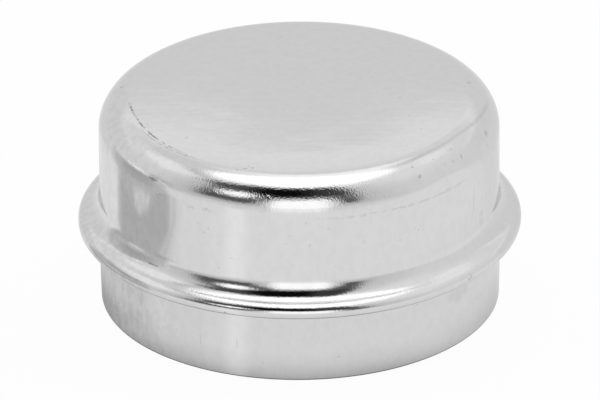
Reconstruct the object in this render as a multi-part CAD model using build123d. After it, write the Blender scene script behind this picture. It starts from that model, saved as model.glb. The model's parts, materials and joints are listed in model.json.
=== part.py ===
from build123d import *
from math import copysign, cos, radians, sin
import os

# A hub grease cap: one cup drawn from sheet steel, with a bead folded out of its wall.
# The axis is Z, the trimmed edge of the skirt lies in z = 0 and the closed end is on top.

# Sizes that set the shape, in millimetres and degrees
cup_diameter = 55.5  # outside of the wall above the bead and of the skirt below it
overall_height = 30.0  # trimmed edge to the middle of the closed end
sheet = 0.9  # thickness of the steel
end_slope = 1.0  # slope of the closed end at its rounded corner, which makes it a very shallow dome
corner_radius = 4.5  # outside of the bend from the closed end to the wall
seat_height = 10.6  # trimmed edge to the underside of the bead
bead_projection = 3.0  # reach of the bead beyond the wall and the skirt
fold_gap = 0.2  # space left between the two plies at the bead's rim
ply_slope = 21.6  # least slope of the upper ply, where its shoulder turns over into its brow
brow_radius = 2.25  # outside of the easy bend from there towards the rim
brow_turn = 24.5  # how far that bend turns
root_radius = 0.5  # outside of the bend between the bead and the skirt
lead_in_height = 4.0  # length of the skirt that narrows towards its edge
lead_in_angle = 1.5  # slope of the narrowing
lead_in_bend = 12.0  # outside of the easy bend where the narrowing begins
edge_round = 0.2  # broken corners of the trimmed edge

# What follows from them
half = sheet / 2
wall_radius = cup_diameter / 2
rim_radius = sheet + fold_gap / 2
end_angle = radians(end_slope)
ply_angle = radians(ply_slope)
brow_angle = radians(ply_slope + brow_turn)

# The closed end is one wide arc that meets the corner without a crease
end_reach = wall_radius - corner_radius * (1 - sin(end_angle))
end_radius = end_reach / sin(end_angle)
corner_base = overall_height - end_radius * (1 - cos(end_angle)) - corner_radius * cos(end_angle)

# The shoulder bend takes up what the brow and the rim leave of the bead's reach
brow_reach = brow_radius * (sin(brow_angle) - sin(ply_angle))
rim_reach = rim_radius * (1 - sin(brow_angle))
shoulder_radius = (bead_projection - brow_reach - rim_reach) / (1 - sin(ply_angle))

# Heights of the rim's centre and of the shoulder's upper end, one bend above the other
rim_height = seat_height + rim_radius
brow_height = rim_height + rim_radius * cos(brow_angle)
ply_height = brow_height + brow_radius * (cos(ply_angle) - cos(brow_angle))
shoulder_height = ply_height + shoulder_radius * cos(ply_angle)

# The centre line of the sheet from the axis to the start of the narrowed edge:
# a straight run is its length, a bend is its radius and its turn, with turns to the right negative
centre_line = [
    (end_radius - half, -end_slope),
    (corner_radius - half, end_slope - 90),
    (corner_base - shoulder_height,),
    (shoulder_radius + half, 90 - ply_slope),
    (brow_radius - half, -brow_turn),
    (rim_radius - half, ply_slope + brow_turn - 180),
    (bead_projection - rim_radius - root_radius,),
    (root_radius + half, 90),
    (seat_height - root_radius - lead_in_height,),
    (lead_in_bend - half, -lead_in_angle),
]


def sheet_face(side):
    """One face of the sheet in section, half a thickness from the centre line: 1 outside, -1 inside."""
    point = Vector(0, overall_height - half + side * half)
    heading = Vector(1, 0)
    edges = []
    for size, *turn in centre_line:
        if turn:
            edge = JernArc(point, heading, size - copysign(half, side * turn[0]), turn[0])
        else:
            edge = Line(point, point + heading * size)
        edges.append(edge)
        point = edge @ 1
        heading = edge % 1
    edges.append(Line(point, point - heading * (point.Y / heading.Y)))
    return edges


# The section, with the corners of the trimmed edge broken
outside = sheet_face(1)
inside = sheet_face(-1)
axis_line = Line(inside[0] @ 0, outside[0] @ 0)
trimmed_edge = Line(outside[-1] @ 1, inside[-1] @ 1)
section = make_face(outside + [trimmed_edge] + inside + [axis_line])
section = fillet(section.vertices().group_by(Axis.Y)[0], edge_round)

# The cap is that section turned once round the axis
grease_cap = revolve(Plane.XZ * section, Axis.Z)

os.makedirs("parts", exist_ok=True)
export_step(grease_cap, "parts/grease_cap.step")
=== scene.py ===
import json
from math import copysign, cos, pi, radians, sin, sqrt
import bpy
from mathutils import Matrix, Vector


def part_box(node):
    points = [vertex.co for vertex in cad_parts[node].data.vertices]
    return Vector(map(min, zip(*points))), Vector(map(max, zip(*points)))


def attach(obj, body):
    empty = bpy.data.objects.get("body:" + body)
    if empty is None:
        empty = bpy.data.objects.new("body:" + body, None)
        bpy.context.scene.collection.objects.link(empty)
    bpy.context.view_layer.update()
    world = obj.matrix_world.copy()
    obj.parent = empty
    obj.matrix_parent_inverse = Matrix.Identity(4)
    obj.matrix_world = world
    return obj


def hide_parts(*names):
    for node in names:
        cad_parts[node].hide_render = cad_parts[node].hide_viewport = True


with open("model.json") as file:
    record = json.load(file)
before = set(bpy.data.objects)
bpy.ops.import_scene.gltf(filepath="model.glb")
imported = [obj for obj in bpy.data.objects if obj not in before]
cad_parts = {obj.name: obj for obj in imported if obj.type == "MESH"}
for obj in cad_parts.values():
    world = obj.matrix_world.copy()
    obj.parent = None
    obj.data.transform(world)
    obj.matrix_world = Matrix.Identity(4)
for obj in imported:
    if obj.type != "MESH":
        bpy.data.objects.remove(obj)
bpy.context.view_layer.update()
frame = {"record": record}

from types import SimpleNamespace

import bmesh
import bpy
from mathutils import Matrix, Vector

# Sizes of the cap in metres and degrees: the frame gives the main ones, the rest repeat the part's own bends
MM = 0.001
mounts = {mount["name"]: mount for mount in frame["record"]["mounts"]}
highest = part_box("grease_cap")[1]
overall_height = highest.z
bead_radius = highest.x
wall_radius = mounts["skirt"]["dims"]["r_mm"] * MM
seat_height = mounts["bead_seat"]["pos_m"][2]
sheet = 0.9 * MM
end_slope = 1.0
corner_radius = 4.5 * MM
fold_gap = 0.2 * MM
ply_slope = 21.6
brow_radius = 2.25 * MM
brow_turn = 24.5
root_radius = 0.5 * MM
lead_in_height = 4.0 * MM
lead_in_angle = 1.5
lead_in_bend = 12.0 * MM
edge_round = 0.2 * MM

# What follows from them, as in the part's own section
half = sheet / 2
bead_projection = bead_radius - wall_radius
rim_radius = sheet + fold_gap / 2
end_angle = radians(end_slope)
ply_angle = radians(ply_slope)
brow_angle = radians(ply_slope + brow_turn)
end_radius = (wall_radius - corner_radius * (1 - sin(end_angle))) / sin(end_angle)
end_height = overall_height - end_radius * (1 - cos(end_angle))
corner_base = end_height - corner_radius * cos(end_angle)
brow_reach = brow_radius * (sin(brow_angle) - sin(ply_angle))
rim_reach = rim_radius * (1 - sin(brow_angle))
shoulder_radius = (bead_projection - brow_reach - rim_reach) / (1 - sin(ply_angle))
rim_height = seat_height + rim_radius
brow_height = rim_height + rim_radius * cos(brow_angle)
ply_height = brow_height + brow_radius * (cos(ply_angle) - cos(brow_angle))
shoulder_height = ply_height + shoulder_radius * cos(ply_angle)

# How finely the cap is turned: steps round the axis, degrees per step in a bend, the loop that stands
# close to each bend so that the straight runs keep flat shading, and how near two points count as one
turn_steps = 320
bend_step = 4.0
hold = 0.25 * MM
same_place = 0.001 * MM


def draw_sheet_face(mesh, side):
    """One face of the sheet as a chain of edges in the XZ plane, from the axis to the trimmed edge."""
    # Straight runs are lengths, bends are a radius on the centre line and a turn, to the right negative
    centre_line = [
        (end_radius - half, -end_slope),
        (corner_radius - half, end_slope - 90),
        (corner_base - shoulder_height, 0),
        (shoulder_radius + half, 90 - ply_slope),
        (brow_radius - half, -brow_turn),
        (rim_radius - half, ply_slope + brow_turn - 180),
        (bead_projection - rim_radius - root_radius, 0),
        (root_radius + half, 90),
        (seat_height - root_radius - lead_in_height, 0),
        (lead_in_bend - half, -lead_in_angle),
    ]
    tip = bmesh.ops.create_vert(mesh, co=(0, 0, overall_height - half + side * half))["vert"][0]
    heading = 0.0
    for size, turn in centre_line:
        if turn:
            radius = size - copysign(half, side * turn)
            inward = radians(heading + copysign(90, turn))
            centre = tip.co + Vector((cos(inward), 0, sin(inward))) * radius
            steps = max(4, round(abs(turn) / bend_step))
            bend = bmesh.ops.spin(mesh, geom=[tip], cent=centre, axis=(0, -1, 0),
                                  angle=radians(turn), steps=steps)
            tip = next(v for v in bend["geom_last"] if isinstance(v, bmesh.types.BMVert))
            heading += turn
        else:
            tip = draw_run(mesh, tip, heading, size)
    return draw_run(mesh, tip, heading, tip.co.z / -sin(radians(heading)))


def draw_run(mesh, tip, heading, length):
    """Extend the chain straight on, with a loop close to each end of a long run."""
    stops = [length]
    if length > 4 * hold:
        stops = [hold, length / 2, length - hold, length]
    start = tip.co.copy()
    along = Vector((cos(radians(heading)), 0, sin(radians(heading))))
    for stop in stops:
        tip = bmesh.ops.extrude_vert_indiv(mesh, verts=[tip])["verts"][0]
        tip.co = start + along * stop
    return tip


def drawn_cap():
    """The whole cap: the section of the sheet turned once round the axis, with the trimmed edge broken."""
    mesh = bmesh.new()
    outer_end = draw_sheet_face(mesh, 1)
    inner_end = draw_sheet_face(mesh, -1)
    bmesh.ops.contextual_create(mesh, geom=[outer_end, inner_end])
    section = mesh.verts[:] + mesh.edges[:]
    bmesh.ops.spin(mesh, geom=section, axis=(0, 0, 1), angle=2 * pi, steps=turn_steps, use_merge=True)
    bmesh.ops.remove_doubles(mesh, verts=mesh.verts[:], dist=same_place)
    bmesh.ops.recalc_face_normals(mesh, faces=mesh.faces[:])
    corners = [e for e in mesh.edges if all(v.co.z < same_place for v in e.verts) and is_round(e)]
    bmesh.ops.bevel(mesh, geom=corners, affect="EDGES", offset=edge_round, segments=4, profile=0.5,
                    material=-1)
    return finished_piece("drawn_cap", mesh)


def is_round(edge):
    """True if the edge runs round the axis."""
    a, b = (v.co.xy.length for v in edge.verts)
    return abs(a - b) < 0.01 * MM


def finished_piece(name, mesh):
    """Turn a bmesh into a smooth-shaded object in the scene."""
    for face in mesh.faces:
        face.smooth = True
    data = bpy.data.meshes.new(name)
    mesh.to_mesh(data)
    mesh.free()
    piece = bpy.data.objects.new(name, data)
    bpy.context.scene.collection.objects.link(piece)
    return piece


def linear(code):
    """An sRGB hex colour as linear RGBA."""
    parts = [int(code[i:i + 2], 16) / 255 for i in (1, 3, 5)]
    return [c / 12.92 if c <= 0.04045 else ((c + 0.055) / 1.055) ** 2.4 for c in parts] + [1.0]


def node(tree, kind, inputs=(), out=0, **settings):
    """Add a shader node with its settings and return one of its outputs, or several for a slice.
    inputs maps a socket's name or number to a value or to the socket that is linked to it."""
    made = tree.nodes.new("ShaderNode" + kind)
    for name, value in settings.items():
        setattr(made, name, value)
    for key, value in dict(inputs).items():
        if isinstance(value, bpy.types.NodeSocket):
            tree.links.new(value, made.inputs[key])
        else:
            made.inputs[key].default_value = value
    return made.outputs[out]


def millimetres(tree):
    """The point that is looked at, in millimetres."""
    metres = node(tree, "TexCoord", out="Object")
    return node(tree, "VectorMath", {0: metres, "Scale": 1 / MM}, operation="SCALE")


def bearing_of(tree, x, ahead):
    """The bearing from the front in degrees, to the right positive."""
    turn = node(tree, "Math", {0: x, 1: ahead}, operation="ARCTAN2")
    return node(tree, "Math", {0: turn}, operation="DEGREES")


def shaken(tree, point, grain, throw):
    """The same point thrown about by a noise of that grain, which gives marks a ragged outline."""
    noise = node(tree, "TexNoise", {"Vector": point, "Scale": 1 / grain, "Detail": 2.0}, out="Color")
    moved = node(tree, "VectorMath", {0: noise, 1: [2 * throw] * 3, 2: point}, operation="MULTIPLY_ADD")
    return node(tree, "VectorMath", {0: moved, 1: [throw] * 3}, operation="SUBTRACT")


def within(tree, *windows):
    """1 where each value lies in its window, fading smoothly to 0 outside. A window is the value, its low
    and high ends, and the widths over which it fades below and above them."""
    share = 1.0
    for value, low, high, fade_below, fade_above in windows:
        for nothing, full in ((low - fade_below, low), (high + fade_above, high)):
            edge = node(tree, "MapRange", {"Value": value, "From Min": nothing, "From Max": full},
                        interpolation_type="SMOOTHSTEP")
            share = node(tree, "Math", {0: edge, 1: share}, operation="MULTIPLY")
    return share


def spots(tree, point, marks):
    """1 in the middle of each round mark, fading to 0 at its edge. A mark is its bearing from the front in
    degrees, then its distance from the axis, its height and its radius in millimetres."""
    found = 0.0
    for bearing, reach, height, radius in marks:
        centre = (reach * sin(radians(bearing)), -reach * cos(radians(bearing)), height)
        away = node(tree, "VectorMath", {0: point, 1: centre}, out="Value", operation="DISTANCE")
        spot = node(tree, "MapRange", {"Value": away, "From Min": radius, "From Max": 0.2 * radius},
                    interpolation_type="SMOOTHSTEP")
        found = node(tree, "Math", {0: spot, 1: found}, operation="MAXIMUM")
    return found


def on_wall(bearing, height, radius):
    """A mark on the wall or on the skirt."""
    return bearing, wall_radius / MM, height, radius


def on_end(bearing, reach, radius):
    """A mark on the closed end."""
    drop = end_radius - sqrt(end_radius ** 2 - (reach * MM) ** 2)
    return bearing, reach, (overall_height - drop) / MM, radius


def on_corner(bearing, slope, radius):
    """A mark on the rounded corner, where the sheet slopes by so many degrees."""
    reach = wall_radius - corner_radius * (1 - sin(radians(slope)))
    height = corner_base + corner_radius * cos(radians(slope))
    return bearing, reach / MM, height / MM, radius


def on_rim(bearing, slope, radius):
    """A mark on the rim of the bead, where the sheet slopes by so many degrees."""
    reach = bead_radius - rim_radius * (1 - sin(radians(slope)))
    height = rim_height + rim_radius * cos(radians(slope))
    return bearing, reach / MM, height / MM, radius


def plate_places(tree):
    """Where a point of the cap lies, in millimetres and degrees, and what breaks up the marks on it."""
    point = millimetres(tree)
    x, y, height = node(tree, "SeparateXYZ", {0: point}, out=slice(3))
    level = node(tree, "VectorMath", {0: point, 1: (1, 1, 0)}, operation="MULTIPLY")
    reach = node(tree, "VectorMath", {0: level}, out="Value", operation="LENGTH")
    ahead = node(tree, "Math", {0: y, 1: -1.0}, operation="MULTIPLY")
    # How far long marks wander from their course, and noises that break marks up, the finest into speckle
    wander_width = 11.0
    speckle_width = 0.38
    break_width = 0.8
    dash_width = 1.3
    wander = node(tree, "TexNoise", {"Vector": point, "Scale": 1 / wander_width, "Detail": 0.0},
                  normalize=False)
    fine = node(tree, "TexNoise", {"Vector": point, "Scale": 1 / speckle_width, "Detail": 2.0})
    frayed = node(tree, "TexNoise", {"Vector": point, "Scale": 1 / break_width, "Detail": 3.0})
    worn = node(tree, "TexNoise", {"Vector": point, "Scale": 1 / dash_width, "Detail": 3.0})
    return SimpleNamespace(
        point=point, level=level, reach=reach, height=height, bearing=bearing_of(tree, x, ahead),
        ragged=shaken(tree, point, grain=0.45, throw=0.35), wander=wander, fine=fine,
        speckled=within(tree, (fine, 0.57, 2, 0.13, 1)), broken=within(tree, (frayed, 0.5, 2, 0.14, 1)),
        dashed=within(tree, (worn, 0.52, 2, 0.1, 1)))


def sheet_relief(tree, at):
    """What rolling and drawing have left on the sheet: patterns, each with its depth in millimetres."""
    # Orange peel, deepest where the sheet was stretched most, half-way round the corner, and shallower on
    # the rest of the corner, on the shoulder and on the rim
    peel_width = 0.24
    stretched = 0.0
    for zone, share in (
            ((at.height, 27.35, 28.65, 0.35, 0.35), 0.6),
            ((at.height, 25.6, 29.4, 1.0, 0.4), 0.4),
            ((at.height, 12.7, 14.4, 0.4, 0.6), 0.25),
            ((at.reach, 30.0, 31.0, 0.8, 0.5), 0.3)):
        stretched = node(tree, "Math", {0: within(tree, zone), 1: share, 2: stretched},
                         operation="MULTIPLY_ADD")
    peel_depth = node(tree, "MapRange", {"Value": stretched, "To Min": 0.0013, "To Max": 0.0066})
    grain = node(tree, "TexNoise", {"Vector": at.point, "Scale": 1 / peel_width, "Detail": 1.5},
                 normalize=False)
    peel = node(tree, "Math", {0: grain, 1: peel_depth}, operation="MULTIPLY")
    # The flat of the closed end was hardly stretched, so it is calmer
    on_flat = within(tree, (at.reach, -1, 22, 1, 3))
    calm = node(tree, "Math", {0: on_flat, 1: -0.6, 2: 1.0}, operation="MULTIPLY_ADD")
    peel = node(tree, "Math", {0: peel, 1: calm}, operation="MULTIPLY")

    # The sheet's slow waves
    wave_width = 7.0
    waves = node(tree, "TexNoise", {"Vector": at.point, "Scale": 1 / wave_width, "Detail": 1.0},
                 normalize=False)
    waves = node(tree, "Math", {0: waves, 1: calm}, operation="MULTIPLY")

    # The mill's rolling lines, which run from side to side across the closed end
    roll_length = 7.0
    roll_width = 1.2
    rolled = node(tree, "VectorMath", {0: at.point, 1: (1 / roll_length, 1 / roll_width, 1)},
                  operation="MULTIPLY")
    rolling = node(tree, "TexNoise", {"Vector": rolled, "Scale": 1.0, "Detail": 3.0}, normalize=False)
    rolling = node(tree, "Math", {0: rolling, 1: on_flat}, operation="MULTIPLY")

    # The die's draw lines, which run down the wall
    draw_length = 9.0
    draw_width = 0.35
    around = node(tree, "VectorMath", {0: at.level}, operation="NORMALIZE")
    around = node(tree, "VectorMath", {0: around, "Scale": wall_radius / MM / draw_width}, operation="SCALE")
    drawn = node(tree, "VectorMath", {0: at.point, 1: (0, 0, 1 / draw_length), 2: around},
                 operation="MULTIPLY_ADD")
    drawing = node(tree, "TexNoise", {"Vector": drawn, "Scale": 1.0, "Detail": 1.0}, normalize=False)
    off_end = within(tree, (at.reach, 26, 99, 2, 1))
    drawing = node(tree, "Math", {0: drawing, 1: off_end}, operation="MULTIPLY")
    return [(peel, 1.0), (waves, 0.025), (rolling, 0.0013), (drawing, 0.001)]


def tool_marks_and_edge_shade(tree, at):
    """What the press has scored, and painted shade where the trimmed edge meets the floor: marks, each with
    what breaks it up and how dark it is.
    """
    # The punch's nose has scored a ring, off centre, where the closed end turns down: a hair line on the
    # left with a fainter one beside it, one softer line on the right and nothing in front
    ring_centre = (1.05, 0.9, 0)
    course = node(tree, "VectorMath", {0: at.level, 1: ring_centre}, out="Value", operation="DISTANCE")
    for noise in (at.wander, at.fine):
        course = node(tree, "Math", {0: noise, 1: 0.5, 2: course}, operation="MULTIPLY_ADD")
    first_hair = within(tree, (course, 24.98, 25.1, 0.1, 0.14), (at.bearing, -85, -58, 3, 22))
    second_hair = within(tree, (course, 25.5, 25.56, 0.1, 0.1), (at.bearing, -60, -42, 10, 10))
    drift = node(tree, "MapRange", {"Value": at.bearing, "From Min": 62.0, "From Max": 92.0,
                                    "To Min": 0.0, "To Max": -1.5})
    soft_course = node(tree, "Math", {0: at.reach, 1: drift}, operation="ADD")
    soft_line = within(tree, (soft_course, 24.64, 24.72, 0.3, 0.4), (at.bearing, 40, 84, 10, 10))

    # The die's mouth has left a chain of dashes just under the corner, on either side of the front
    ragged_height = node(tree, "SeparateXYZ", {0: at.ragged}, out="Z")
    mouth_course = node(tree, "Math", {0: at.wander, 1: 0.2, 2: ragged_height}, operation="MULTIPLY_ADD")
    mouth_line = (mouth_course, 24.6, 24.7, 0.26, 0.26)
    mouth_left = within(tree, mouth_line, (at.bearing, -34, -27, 4, 4))
    mouth_right = within(tree, mouth_line, (at.bearing, 14, 52, 14, 8))

    # Painted shade along the trimmed edge, where it stands on the floor
    painted_edge_shade = within(tree, (at.height, -1, 0.1, 1, 0.2))
    return [(first_hair, at.dashed, 0.7), (second_hair, at.broken, 0.3), (soft_line, 1.0, 0.15),
            (mouth_left, at.dashed, 0.14), (mouth_right, at.dashed, 0.14), (painted_edge_shade, 1.0, 0.85)]


def handling_marks(tree, at):
    """What handling has left: marks, each with what breaks it up and how dark it is."""
    # Short upright scratches strewn over the plate, and four hair lines down the wall and the skirt, each
    # with its bearing and the heights of its ends
    scratch_spacing = 4.0
    dragged = node(tree, "VectorMath", {0: at.point, 1: (1, 1, 0.12)}, operation="MULTIPLY")
    strewn = node(tree, "TexVoronoi", {"Vector": dragged, "Scale": 1 / scratch_spacing})
    marks = [(within(tree, (strewn, -1, 0.01, 1, 0.02)), 1.0, 0.2)]
    wavering = node(tree, "Math", {0: at.wander, 1: 1.5, 2: at.bearing}, operation="MULTIPLY_ADD")
    for side, low, high in ((59.6, 18.9, 22.8), (70.7, 17.3, 20.8), (-30.0, 4.1, 6.3), (-19.1, 4.5, 5.9)):
        hair = within(tree, (wavering, side, side + 0.1, 0.25, 0.25), (at.height, low, high, 0.4, 0.4))
        marks.append((hair, at.broken, 0.16))

    # Scuffs, mostly on the corner
    scuffs = [on_corner(*mark) for mark in (
        (54.0, 37, 0.5), (48.4, 51, 0.35), (51.7, 54.5, 0.36), (55.7, 54.5, 0.5), (37.0, 33, 0.3),
        (37.6, 54, 0.4), (100.4, 10.5, 0.5), (70.9, 24.5, 0.5), (73.0, 56, 0.8), (70.7, 75, 0.45),
        (-99.6, 21, 0.5), (-77.7, 50.5, 0.5), (-73.3, 59, 0.5), (-68.1, 62, 0.5), (-40.9, 6.5, 0.5),
        (-20.7, 8.5, 0.4))]
    scuffs += [on_end(*mark) for mark in (
        (87.3, 13.9, 0.35), (101.9, 21.9, 0.4), (-68.5, 22.5, 0.4), (-50.7, 19.8, 0.4), (-18.4, 23.3, 0.45),
        (-16.2, 22.9, 0.4))]
    scuffs += [on_wall(*mark) for mark in (
        (-44.1, 24.8, 0.7), (-27.6, 24.8, 0.5), (-70.6, 3.2, 0.5), (-68.1, 3.2, 0.6), (-66.4, 3.2, 0.45))]
    scuffs += [on_rim(49.5, 82.5, 0.75), on_rim(-19.8, 117, 0.5)]
    marks.append((spots(tree, at.ragged, scuffs), at.speckled, 0.34))

    # Flecks and smudges on the wall and the skirt
    flecks = [on_wall(*mark) for mark in (
        (-30.2, 22.5, 0.3), (-28.3, 21.2, 0.32), (-26.7, 22.0, 0.3), (-23.6, 20.0, 0.32), (-2.6, 22.1, 0.3),
        (8.1, 23.2, 0.28), (2.7, 20.7, 0.28), (18.2, 20.6, 0.3), (29.7, 19.7, 0.28), (34.4, 20.8, 0.28),
        (-57.8, 3.4, 0.3), (-47.0, 2.5, 0.34), (-43.1, 0.8, 0.3), (-37.9, 5.1, 0.26), (61.2, 5.3, 0.32),
        (64.4, 5.1, 0.32))]
    marks.append((spots(tree, at.ragged, flecks), 1.0, 0.15))
    smudges = [on_wall(*mark) for mark in (
        (51.5, 7.7, 1.7), (48.6, 8.0, 1.3), (54.8, 7.9, 1.2), (64.4, 17.6, 1.0), (64.4, 16.3, 1.0),
        (-60.0, 3.5, 0.5), (-48.3, 2.4, 0.5))]
    marks.append((spots(tree, at.point, smudges), 1.0, 0.11))
    return marks


def film_and_left_shade(tree, at):
    """A thin cloudy film, drawn out downwards, and painted shade on the left in the same cloudy pattern,
    heaviest on the skirt.
    """
    cloud_width = 1.1
    drawn_out = node(tree, "VectorMath", {0: at.point, 1: (1, 1, 0.6)}, operation="MULTIPLY")
    clouds = node(tree, "TexNoise", {"Vector": drawn_out, "Scale": 1 / cloud_width, "Detail": 4.0,
                                     "Roughness": 0.6})
    film = within(tree, (clouds, 0.62, 2, 0.2, 1))
    on_skirt = within(tree, (at.height, -1, 10.5, 1, 3))
    heavy = node(tree, "MapRange", {"Value": on_skirt, "To Min": 0.6, "To Max": 1.0})
    # Painted shade on the left, in the film's cloudy pattern, heaviest on the skirt
    on_left = within(tree, (at.bearing, -125, -58, 20, 34), (at.reach, 25, 99, 2, 1))
    painted_left_shade = node(tree, "Math", {0: on_left, 1: heavy}, operation="MULTIPLY")
    return [(film, 1.0, 0.03), (film, painted_left_shade, 0.14)]


def bright_zinc_plate():
    """Bright zinc plate on drawn sheet steel: a pale neutral mirror, hardly blurred. Orange peel frays the
    edges of what it reflects, the sheet isn't quite flat, the press has scored it and handling has marked
    it."""
    material = bpy.data.materials.new("bright_zinc_plated_drawn_steel")
    material.use_nodes = True
    tree = material.node_tree
    surface = tree.nodes["Principled BSDF"]
    surface.inputs["Metallic"].default_value = 1.0
    surface.inputs["Specular Tint"].default_value = linear("#F5F5F5")
    at = plate_places(tree)

    # Specks all over, which are dark and sunk, and nicks in the corner and the shoulder, which are only sunk
    speck_spacing = 2.4
    peppered = node(tree, "TexVoronoi", {"Vector": at.point, "Scale": 1 / speck_spacing})
    specks = within(tree, (peppered, -1, 0.012, 1, 0.05))
    nicks = spots(tree, at.point, [(-9.0, 27.13, 27.8, 0.3), (-8.6, 27.2, 27.6, 0.25),
                                   (78.2, 29.07, 13.15, 0.3), (78.1, 29.5, 12.9, 0.3)])

    # All marks, with the painted shade on the trimmed edge and on the left, together darken and dull the
    # plate
    marked = 0.0
    for mark, breaks, strength in [(specks, 1.0, 0.4), *tool_marks_and_edge_shade(tree, at), *handling_marks(tree, at),
                                   *film_and_left_shade(tree, at)]:
        dark = node(tree, "Math", {0: mark, 1: breaks}, operation="MULTIPLY")
        dark = node(tree, "Math", {0: dark, 1: strength}, operation="MULTIPLY")
        marked = node(tree, "Math", {0: dark, 1: marked}, operation="MAXIMUM")
    colour = node(tree, "Mix", {0: marked, 6: linear("#D8D8D8"), 7: linear("#5A5A5A")}, out=2,
                  data_type="RGBA")
    tree.links.new(colour, surface.inputs["Base Color"])
    dull = node(tree, "MapRange", {"Value": marked, "To Min": 0.06, "To Max": 0.35})
    tree.links.new(dull, surface.inputs["Roughness"])

    # Heights in millimetres, added up for one bump
    relief = 0.0
    for pattern, depth in [*sheet_relief(tree, at), (nicks, -0.04), (specks, -0.01)]:
        relief = node(tree, "Math", {0: pattern, 1: depth, 2: relief}, operation="MULTIPLY_ADD")
    bump = node(tree, "Bump", {"Height": relief, "Strength": 1.0, "Distance": MM})
    tree.links.new(bump, surface.inputs["Normal"])
    return material


def bare_material(name):
    """A material with nothing in it but its output."""
    material = bpy.data.materials.new(name)
    material.use_nodes = True
    material.node_tree.nodes.remove(material.node_tree.nodes["Principled BSDF"])
    return material


def pale_floor():
    """A wide white floor that is seen through from below, so that the open side can be looked at."""
    material = bare_material("white_floor_sheet")
    tree = material.node_tree
    # Bearings are taken from a point under the cap's front half, so that a streak that runs out from there
    # is mirrored as an upright band
    streak_start = 14.0
    point = millimetres(tree)
    x, y = node(tree, "SeparateXYZ", {0: point}, out=slice(2))
    reach = node(tree, "VectorMath", {0: point}, out="Value", operation="LENGTH")
    ahead = node(tree, "Math", {0: y, 1: -1.0, 2: -streak_start}, operation="MULTIPLY_ADD")
    bearing = bearing_of(tree, x, ahead)

    # What the metal sees of the floor is white, darker close round whatever stands on it, except towards
    # the back on the left, and half as dark on the right
    close = node(tree, "AmbientOcclusion", {"Distance": 12 * MM}, out="AO", samples=8)
    hidden = node(tree, "Math", {0: 1.0, 1: close}, operation="SUBTRACT")
    hidden = node(tree, "Math", {0: hidden, 1: 3.0}, operation="POWER")
    for zone, gain in ((((x, -90, -40, 1, 6), (y, 4, 60, 12, 1)), -1.0),
                       (((x, 24, 90, 14, 1), (y, -60, 60, 1, 1)), -0.5)):
        kept = node(tree, "Math", {0: within(tree, *zone), 1: gain, 2: 1.0}, operation="MULTIPLY_ADD")
        hidden = node(tree, "Math", {0: hidden, 1: kept}, operation="MULTIPLY")
    seen = node(tree, "Math", {0: hidden, 1: -2.7, 2: 0.975}, operation="MULTIPLY_ADD")
    # Painted shade and painted light laid over that glow, zone by zone
    far_ahead = (ahead, 200, 9000, 160, 1)
    for zone, gain in (
            ([(reach, -1, 46, 1, 16)], -0.05),  # a little dimmer near the cap
            ([(y, 40, 9000, 34, 1)], -0.085),  # and behind it
            ([far_ahead], -0.12),  # and far in front
            ([far_ahead, (bearing, -11, 11, 9, 9)], 0.36),  # but with a sheen in the middle there
            ([(bearing, -37.5, -35.5, 9, 9), (ahead, -99, 62, 1, 55)], 0.11),  # a painted streak of the lamp's glow on the left
            ([(bearing, -90, -58, 8, 8)], -0.035),  # dimmer further left
            ([(x, -70, -29, 1, 4), (y, -11, 60, 9, 1), (reach, -1, 40, 1, 5)], -0.13),  # shade on the left
            ([(x, -90, -40, 1, 6), (y, 8, 60, 8, 1)], 0.07)):  # and painted lighter beyond that
        seen = node(tree, "Math", {0: within(tree, *zone), 1: gain, 2: seen}, operation="MULTIPLY_ADD")
    seen = node(tree, "Math", {0: seen, 1: 0.3}, operation="MAXIMUM")

    # The camera sees it nearly white too, with the cap's shadow left faint
    camera_ray = node(tree, "LightPath", out="Is Camera Ray")
    glossy_ray = node(tree, "LightPath", out="Is Glossy Ray")
    share = node(tree, "Math", {0: camera_ray, 1: 0.96, 2: glossy_ray}, operation="MULTIPLY_ADD")
    strength = node(tree, "Mix", {"Factor": camera_ray, "A": seen, "B": 1.0})
    paper = node(tree, "BsdfDiffuse", {"Color": linear("#F4F4F4")})
    glow = node(tree, "Emission", {"Color": linear("#FFFFFF"), "Strength": strength})
    front = node(tree, "MixShader", {0: share, 1: paper, 2: glow})
    below = node(tree, "NewGeometry", out="Backfacing")
    both = node(tree, "MixShader", {0: below, 1: front, 2: node(tree, "BsdfTransparent")})
    tree.links.new(both, tree.nodes["Material Output"].inputs["Surface"])

    # It lies just under the trimmed edge
    lowered = Matrix.Translation((0, 0, -0.02 * MM))
    mesh = bmesh.new()
    bmesh.ops.create_grid(mesh, x_segments=1, y_segments=1, size=3.0, matrix=lowered)
    floor = finished_piece("floor", mesh)
    floor.data.materials.append(material)
    return floor


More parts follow.
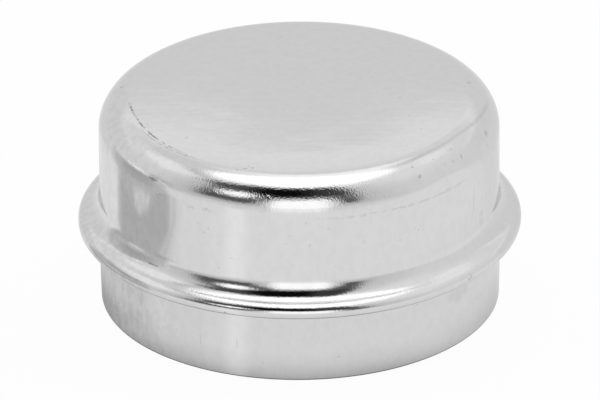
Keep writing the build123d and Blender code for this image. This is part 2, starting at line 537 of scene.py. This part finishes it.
def side_reflector():
    """A grey drum to the left of the frame, there only for the soft grey band that it leaves on the wall."""
    material = bare_material("glowing_grey_card")
    tree = material.node_tree
    point = millimetres(tree)
    height = node(tree, "SeparateXYZ", {0: point}, out="Z")
    uneven = shaken(tree, point, grain=2.2, throw=1.5)
    flat = node(tree, "NewGeometry", out="True Normal")
    facing = node(tree, "LayerWeight", {"Normal": flat}, out="Facing")
    sides = node(tree, "MapRange", {"Value": facing, "From Min": 0.0, "From Max": 0.3, "To Min": 0.5,
                                    "To Max": 0.68})
    # Painted reflections of a neighbouring cap: pale spots, glints and dark spots
    painted_pale_reflections = spots(tree, uneven, [
        (-79.5, 46.3, 10.6, 2.4), (-77.5, 46.9, 10.3, 2.9), (-75.5, 47.6, 10.3, 2.9),
        (-73.3, 48.7, 10.0, 2.5), (-65.8, 56.0, 24.8, 2.4)])
    painted_glints = spots(tree, point, [
        (-81.5, 47.7, 28.4, 1.8), (-77.4, 48.4, 28.3, 2.6), (-75.0, 50.5, 29.2, 2.6)])
    painted_dark_reflections = spots(tree, point, [
        (-68.6, 52.4, 26.2, 2.6), (-68.3, 53.6, 27.9, 3.4), (-67.0, 55.0, 27.4, 2.8)])
    # Its grey glow, then each patch painted over it, some of them painted highlights and reflections: where
    # it is and its level
    shade = 0.58
    for mask, level in (
            (within(tree, (height, 17, 99, 4, 1)), sides),  # darkest in the middle of its upper half
            (within(tree, (height, 11, 14, 2.5, 1.5)), 0.64),  # a paler belt
            (painted_pale_reflections, 0.84),
            (within(tree, (height, -1, 0.2, 1, 1.8)), 0.78),  # the foot
            (within(tree, (height, 28.5, 99, 4, 1)), 0.88),  # the brim
            (within(tree, (facing, 0.85, 2, 0.45, 1)), 0.9),  # painted brighter edges, where it is seen edge-on
            (painted_glints, 1.3),
            (painted_dark_reflections, 0.2)):
        shade = node(tree, "Mix", {"Factor": mask, "A": shade, "B": level})
    glow = node(tree, "Emission", {"Color": linear("#FFFFFF"), "Strength": shade})
    tree.links.new(glow, tree.nodes["Material Output"].inputs["Surface"])

    drum_radius = 27 * MM
    drum_height = 29.6 * MM
    drum_round = 5.0 * MM
    drum_place = Vector((-72.5 * MM, -6.5 * MM, drum_height / 2))
    mesh = bmesh.new()
    bmesh.ops.create_cone(mesh, cap_ends=True, segments=160, radius1=drum_radius, radius2=drum_radius,
                          depth=drum_height, matrix=Matrix.Translation(drum_place))
    upper = [e for e in mesh.edges if all(v.co.z > drum_place.z for v in e.verts)]
    bmesh.ops.bevel(mesh, geom=upper, affect="EDGES", offset=drum_round, segments=16, profile=0.5,
                    material=-1)
    drum = finished_piece("side_reflector", mesh)
    drum.data.materials.append(material)
    drum.visible_camera = False
    return drum


def studio_world():
    """A white room with a soft box overhead. Beyond the camera it opens on a dark room with two cards and
    a lamp."""
    world = bpy.data.worlds.new("white_studio")
    world.use_nodes = True
    tree = world.node_tree
    direction = node(tree, "TexCoord", out="Generated")
    x, y, z = node(tree, "SeparateXYZ", {0: direction}, out=slice(3))
    # Bearing from the front, to the right positive, and height above the horizon, both in degrees
    ahead = node(tree, "Math", {0: y, 1: -1.0}, operation="MULTIPLY")
    bearing = bearing_of(tree, x, ahead)
    rise = node(tree, "Math", {0: z}, operation="ARCSINE")
    height = node(tree, "Math", {0: rise}, operation="DEGREES")
    # Where the direction meets a ceiling at height 1, to the right and to the back
    upward = node(tree, "Math", {0: z, 1: 0.01}, operation="MAXIMUM")
    right = node(tree, "Math", {0: x, 1: upward}, operation="DIVIDE")
    back = node(tree, "Math", {0: y, 1: upward}, operation="DIVIDE")
    ceiling = node(tree, "CombineXYZ", {0: right, 1: back})
    soft_box_centre = (0.02, 0.12, 0)
    overhead = node(tree, "VectorMath", {0: ceiling, 1: soft_box_centre}, out="Value", operation="DISTANCE")
    # Where it meets the back wall, sideways
    aside = node(tree, "Math", {0: x, 1: y}, operation="DIVIDE")
    behind = (y, 0.6, 2, 0.25, 1)
    # How far it points away from the lamp
    lamp_bearing = radians(-39)
    lamp_height = radians(35)
    lamp_axis = (sin(lamp_bearing) * cos(lamp_height), -cos(lamp_bearing) * cos(lamp_height),
                 sin(lamp_height))
    towards = node(tree, "VectorMath", {0: direction, 1: lamp_axis}, out="Value", operation="DOT_PRODUCT")
    off_axis = node(tree, "Math", {0: towards}, operation="ARCCOSINE")

    # The room's own level, then each patch painted over it: its windows and its level
    room = node(tree, "MapRange", {"Value": height, "From Min": 20, "From Max": 61, "To Min": 0.885,
                                   "To Max": 1.0}, interpolation_type="SMOOTHSTEP")
    wall_level = node(tree, "MapRange", {"Value": height, "From Min": 25.5, "From Max": 27.3, "To Min": 0.86,
                                         "To Max": 1.01}, interpolation_type="SMOOTHSTEP")
    for windows, level in (
            ([behind, (height, -90, 28.5, 1, 4)], wall_level),  # the back wall, which is paler above
            ([behind, (aside, -0.009, 0.014, 0.007, 0.006), (height, 20, 27, 5, 0.8)],
             0.862),  # a grey hump in front of it
            ([(bearing, -56, 20, 42, 60), (height, -90, 57, 1, 6)], 0.67),  # the dim sides of the opening
            ([(bearing, -126, -98, 10, 12), (height, 42, 51, 8, 5)], 1.09),  # a pale patch high on the left
            ([(bearing, 120, 140, 16, 8), (height, 48, 53, 8, 5)], 1.09),  # and one on the right
            ([(bearing, -157, -147, 6, 7), (height, 44, 48, 3, 4)], 0.76),  # a dim one behind, on the left
            ([(bearing, -170, -66, 10, 10), (height, 58, 60, 4, 4)], 0.72),  # the soft box's rim
            ([(right, -0.5, 0.38, 0.12, 0.06), (back, 0.45, 1.0, 0.15, 0.3)], 0.84),  # its frame
            ([(right, -0.03, 0.2, 0.24, 0.16), (back, 0.4, 0.75, 0.2, 0.35)], 1.25),  # its glare at the back
            ([(overhead, -1, 0.36, 1, 0.16)], 1.55),  # the soft box
            ([(bearing, -90, -79, 3, 9), (height, -2, 7, 3, 8)], 0.62),  # a dim corner to the left
            ([(bearing, -53, 28.5, 14, 13), (height, 13, 63.5, 9, 13.5)], 0.12),  # the opening
            ([(bearing, -64, -40, 20, 8), (height, 56, 58, 13, 7)], 0.08),  # its upper left corner
            ([(bearing, -30, 26, 14, 14), (height, 45, 63, 10, 10)], 0.055),  # the dark beyond it
            ([(bearing, -30, 4, 14, 10), (height, 45, 63, 10, 10)], 0.004),  # darkest on the left
            ([(bearing, -21, 21, 7, 5), (height, -90, 13, 1, 18)], 0.72),  # a grey card
            ([(bearing, -11.5, 12.5, 10, 10), (height, -90, 22, 1, 19)], 1.42),  # a white card in front
            ([(off_axis, -1, radians(3), 1, radians(11.5))], 1.5)):  # the lamp
        room = node(tree, "Mix", {"Factor": within(tree, *windows), "A": room, "B": level})
    camera_ray = node(tree, "LightPath", out="Is Camera Ray")
    strength = node(tree, "Mix", {"Factor": camera_ray, "A": room, "B": 1.0})
    background = tree.nodes["Background"]
    background.inputs["Color"].default_value = linear("#FFFFFF")
    tree.links.new(strength, background.inputs["Strength"])
    bpy.context.scene.world = world


def photo_camera():
    """A long lens in front of the cap, 26 degrees above the table, rolled by half a degree."""
    elevation = radians(26.376)
    roll = radians(-0.467)
    distance = 1.6667
    aim = Vector((0.055 * MM, 0, 13.929 * MM))
    back = Vector((0, -cos(elevation), sin(elevation)))
    up = Vector((0, sin(elevation), cos(elevation)))
    across = Vector((1, 0, 0))
    turned = [across * cos(roll) + up * sin(roll), up * cos(roll) - across * sin(roll), back]
    data = bpy.data.cameras.new("photo_camera")
    data.sensor_width = 36
    data.lens = 720.7
    camera = bpy.data.objects.new("photo_camera", data)
    camera.matrix_world = Matrix.Translation(aim + back * distance) @ Matrix(turned).transposed().to_4x4()
    bpy.context.scene.collection.objects.link(camera)
    bpy.context.scene.camera = camera


cap = drawn_cap()
plate = bright_zinc_plate()
cap.data.materials.append(plate)
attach(cap, "root")
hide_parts("grease_cap")
pale_floor()
side_reflector()
studio_world()
photo_camera()
bpy.context.scene.view_settings.view_transform = "Standard"
